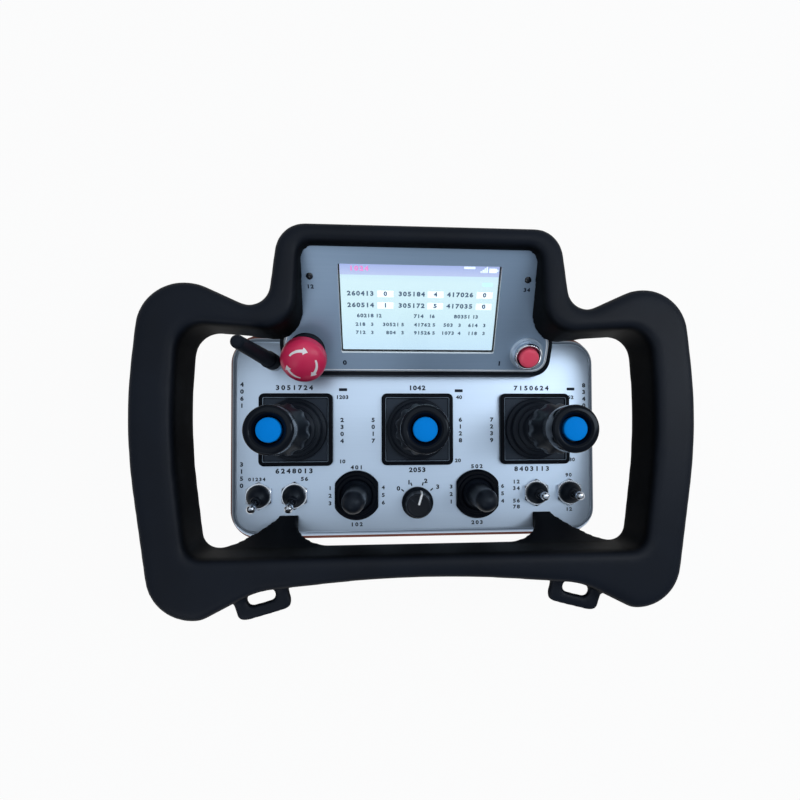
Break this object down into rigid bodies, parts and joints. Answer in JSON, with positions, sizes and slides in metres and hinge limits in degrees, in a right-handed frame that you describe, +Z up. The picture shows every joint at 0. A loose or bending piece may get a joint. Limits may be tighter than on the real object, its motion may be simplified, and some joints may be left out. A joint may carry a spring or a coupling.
{
  "type": "joystick radio remote control",
  "caption": "Belly-box radio transmitter: panel with joysticks, toggles and a selector, tilted screen, stop and start buttons, stub antenna, in a yoke frame with hand grips and strap slots.",
  "frame": {"origin": "middle of the overall box, on the surface that the feet rest on", "axes": "+X to the operator's right, +Y away from the operator, +Z up, square to the control panel"},
  "size_m": [0.316, 0.2208, 0.148],
  "materials": {
    "frame_black": "soft moulded skin",
    "panel_grey": "satin anodised",
    "seal_red": "matt",
    "housing_black": "fine grain",
    "battery_dark": "shrink film",
    "board_green": "solder mask",
    "shield_steel": "plain",
    "plate_grey": "satin",
    "window_glass": "polished",
    "screen": "lit screen",
    "lens_dark": "clear dark",
    "socket_metal": "plated",
    "rubber_black": "matt",
    "estop_red": "satin",
    "bright_metal": "polished",
    "start_red": "satin",
    "knob_black": "satin",
    "pointer_white": "plain",
    "bezel_black": "satin",
    "grip_black": "semi-gloss",
    "button_blue": "satin"
  },
  "bodies": {
    "housing": {"antenna_socket": "socket_metal", "antenna_whip": "rubber_black", "battery_cover": "housing_black", "battery_pack": "battery_dark", "control_panel": "panel_grey", "cover_screws": "shield_steel", "display_board": "board_green", "display_glass": "window_glass", "display_housing": "housing_black", "display_plate": "plate_grey", "estop_collar": "housing_black", "estop_contact_block": "housing_black", "frame_screws": "shield_steel", "housing_screws": "shield_steel", "indicator_lenses": "lens_dark", "joystick_bezels": "bezel_black", "joystick_bodies": "housing_black", "joystick_boots": "rubber_black", "lcd_module": "screen", "lower_housing": "housing_black", "main_board": "board_green", "panel_gasket": "seal_red", "radio_module": "shield_steel", "rubber_feet": "rubber_black", "selector_switch": "housing_black", "start_bezel": "bright_metal", "start_switch": "housing_black", "thumb_bezels": "bezel_black", "thumb_bodies": "housing_black", "toggle_boots": "rubber_black", "toggle_nuts": "bright_metal", "toggle_switches": "housing_black", "yoke_frame": "frame_black"},
    "joystick_left_gimbal": {"joystick_gimbal_left": "shield_steel"},
    "joystick_left_lever": {"joystick_lever_left": "shield_steel", "joystick_grip_left": "grip_black"},
    "joystick_left_button": {"joystick_button_left": "button_blue"},
    "joystick_centre_gimbal": {"joystick_gimbal_centre": "shield_steel"},
    "joystick_centre_lever": {"joystick_lever_centre": "shield_steel", "joystick_grip_centre": "grip_black"},
    "joystick_centre_button": {"joystick_button_centre": "button_blue"},
    "joystick_right_gimbal": {"joystick_gimbal_right": "shield_steel"},
    "joystick_right_lever": {"joystick_lever_right": "shield_steel", "joystick_grip_right": "grip_black"},
    "joystick_right_button": {"joystick_button_right": "button_blue"},
    "thumb_left_gimbal": {"thumb_gimbal_left": "shield_steel"},
    "thumb_left_stick": {"thumb_stick_left": "rubber_black"},
    "thumb_right_gimbal": {"thumb_gimbal_right": "shield_steel"},
    "thumb_right_stick": {"thumb_stick_right": "rubber_black"},
    "toggle_1": {"toggle_lever_1": "bright_metal"},
    "toggle_2": {"toggle_lever_2": "bright_metal"},
    "toggle_3": {"toggle_lever_3": "bright_metal"},
    "toggle_4": {"toggle_lever_4": "bright_metal"},
    "selector": {"selector_knob": "knob_black", "selector_pointer": "pointer_white"},
    "estop_plunger": {"estop_stem": "housing_black"},
    "estop_mushroom": {"estop_head": "estop_red"},
    "start_button": {"start_cap": "start_red"}
  },
  "joints": [
    {"name": "joystick_left_pitch", "type": "hinge", "parent": "housing", "child": "joystick_left_gimbal", "pos_m": [-0.0791, -0.00383, 0.051], "axis": [1, 0, 0], "range_deg": [-16, 16], "stiffness_Nm_per_rad": 1.2, "deforming": ["joystick_boots"]},
    {"name": "joystick_left_sway", "type": "hinge", "parent": "joystick_left_gimbal", "child": "joystick_left_lever", "pos_m": [-0.0791, -0.00383, 0.051], "axis": [0, 1, 0], "range_deg": [-16, 16], "stiffness_Nm_per_rad": 1.2, "deforming": ["joystick_boots"]},
    {"name": "joystick_left_press", "type": "slide", "parent": "joystick_left_lever", "child": "joystick_left_button", "axis": [0, 0, -1], "range_m": [0, 0.0015], "stiffness_N_per_m": 1500},
    {"name": "joystick_centre_pitch", "type": "hinge", "parent": "housing", "child": "joystick_centre_gimbal", "pos_m": [0, -0.00383, 0.051], "axis": [1, 0, 0], "range_deg": [-16, 16], "stiffness_Nm_per_rad": 1.2, "deforming": ["joystick_boots"]},
    {"name": "joystick_centre_sway", "type": "hinge", "parent": "joystick_centre_gimbal", "child": "joystick_centre_lever", "pos_m": [0, -0.00383, 0.051], "axis": [0, 1, 0], "range_deg": [-16, 16], "stiffness_Nm_per_rad": 1.2, "deforming": ["joystick_boots"]},
    {"name": "joystick_centre_press", "type": "slide", "parent": "joystick_centre_lever", "child": "joystick_centre_button", "axis": [0, 0, -1], "range_m": [0, 0.0015], "stiffness_N_per_m": 1500},
    {"name": "joystick_right_pitch", "type": "hinge", "parent": "housing", "child": "joystick_right_gimbal", "pos_m": [0.0791, -0.00383, 0.051], "axis": [1, 0, 0], "range_deg": [-16, 16], "stiffness_Nm_per_rad": 1.2, "deforming": ["joystick_boots"]},
    {"name": "joystick_right_sway", "type": "hinge", "parent": "joystick_right_gimbal", "child": "joystick_right_lever", "pos_m": [0.0791, -0.00383, 0.051], "axis": [0, 1, 0], "range_deg": [-16, 16], "stiffness_Nm_per_rad": 1.2, "deforming": ["joystick_boots"]},
    {"name": "joystick_right_press", "type": "slide", "parent": "joystick_right_lever", "child": "joystick_right_button", "axis": [0, 0, -1], "range_m": [0, 0.0015], "stiffness_N_per_m": 1500},
    {"name": "thumb_left_pitch", "type": "hinge", "parent": "housing", "child": "thumb_left_gimbal", "pos_m": [-0.04, -0.04703, 0.058], "axis": [1, 0, 0], "range_deg": [-12, 12], "stiffness_Nm_per_rad": 0.4},
    {"name": "thumb_left_sway", "type": "hinge", "parent": "thumb_left_gimbal", "child": "thumb_left_stick", "pos_m": [-0.04, -0.04703, 0.058], "axis": [0, 1, 0], "range_deg": [-12, 12], "stiffness_Nm_per_rad": 0.4},
    {"name": "thumb_right_pitch", "type": "hinge", "parent": "housing", "child": "thumb_right_gimbal", "pos_m": [0.04, -0.04703, 0.058], "axis": [1, 0, 0], "range_deg": [-12, 12], "stiffness_Nm_per_rad": 0.4},
    {"name": "thumb_right_sway", "type": "hinge", "parent": "thumb_right_gimbal", "child": "thumb_right_stick", "pos_m": [0.04, -0.04703, 0.058], "axis": [0, 1, 0], "range_deg": [-12, 12], "stiffness_Nm_per_rad": 0.4},
    {"name": "toggle_1_throw", "type": "hinge", "parent": "housing", "child": "toggle_1", "pos_m": [-0.1028, -0.04673, 0.061], "axis": [1, 0, 0], "range_deg": [-30, 0], "deforming": ["toggle_boots"]},
    {"name": "toggle_2_throw", "type": "hinge", "parent": "housing", "child": "toggle_2", "pos_m": [-0.0801, -0.04673, 0.061], "axis": [1, 0, 0], "range_deg": [-30, 0], "deforming": ["toggle_boots"]},
    {"name": "toggle_3_throw", "type": "hinge", "parent": "housing", "child": "toggle_3", "pos_m": [0.0801, -0.04673, 0.061], "axis": [1, 0, 0], "range_deg": [-15, 15], "stiffness_Nm_per_rad": 0.15, "deforming": ["toggle_boots"]},
    {"name": "toggle_4_throw", "type": "hinge", "parent": "housing", "child": "toggle_4", "pos_m": [0.1028, -0.04673, 0.061], "axis": [1, 0, 0], "range_deg": [-15, 15], "stiffness_Nm_per_rad": 0.15, "deforming": ["toggle_boots"]},
    {"name": "selector_turn", "type": "hinge", "parent": "housing", "child": "selector", "pos_m": [0, -0.05243, 0.06], "axis": [0, 0, 1], "range_deg": [-32, 67]},
    {"name": "estop_push", "type": "slide", "parent": "housing", "child": "estop_plunger", "axis": [0, 0.5135, -0.8581], "range_m": [0, 0.004]},
    {"name": "estop_twist", "type": "hinge", "parent": "estop_plunger", "child": "estop_mushroom", "pos_m": [-0.0694, 0.04585, 0.07995], "axis": [0, -0.5135, 0.8581], "range_deg": [-30, 0], "stiffness_Nm_per_rad": 0.12},
    {"name": "start_press", "type": "slide", "parent": "housing", "child": "start_button", "axis": [0, 0.5135, -0.8581], "range_m": [0, 0.0025], "stiffness_N_per_m": 1200}
  ]
}
